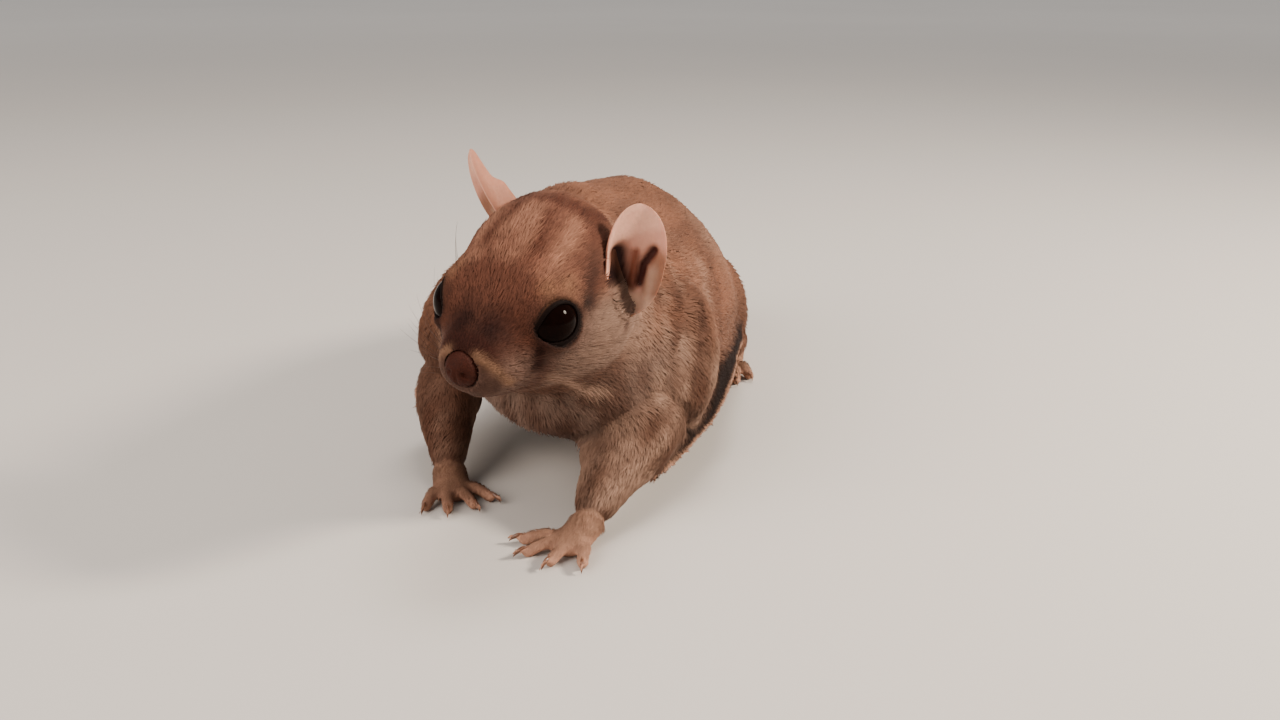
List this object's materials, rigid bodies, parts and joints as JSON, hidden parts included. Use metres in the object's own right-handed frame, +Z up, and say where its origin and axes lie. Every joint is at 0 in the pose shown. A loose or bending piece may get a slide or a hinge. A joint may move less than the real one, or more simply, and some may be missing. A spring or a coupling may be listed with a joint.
{
  "type": "southern flying squirrel model",
  "caption": "Life-size still model of a small gliding squirrel, low on its feet with the head turned, big dark eyes, gliding membranes folded along the flanks and a flat tail.",
  "frame": {"origin": "middle of the animal's footprint on the floor, at the bottom centre of its bounding box", "axes": "+Z up, -Y the way the body points, +X the animal's left"},
  "size_m": [0.0586, 0.2318, 0.0604],
  "materials": {
    "fur": "short, soft, dense fur",
    "limb_fur": "short, soft fur, paler than the back",
    "membrane_fur": "short fur with a fringed edge",
    "tail_fur": "longer fur combed flat to both sides",
    "paw_skin": "bare and thinly haired skin",
    "ear_skin": "thin, nearly bare skin",
    "nose_skin": "bare skin with a soft shine",
    "eye": "glossy black"
  },
  "bodies": {
    "root": {"head": "fur", "nose": "nose_skin", "eye_left": "eye", "eye_right": "eye", "ear_left": "ear_skin", "ear_right": "ear_skin", "neck": "fur", "torso": "fur", "foreleg_left": "limb_fur", "foreleg_right": "limb_fur", "hand_left": "paw_skin", "hand_right": "paw_skin", "hindleg_left": "limb_fur", "hindleg_right": "limb_fur", "foot_left": "paw_skin", "foot_right": "paw_skin", "patagium_left": "membrane_fur", "patagium_right": "membrane_fur", "tail": "tail_fur"}
  },
  "joints": []
}
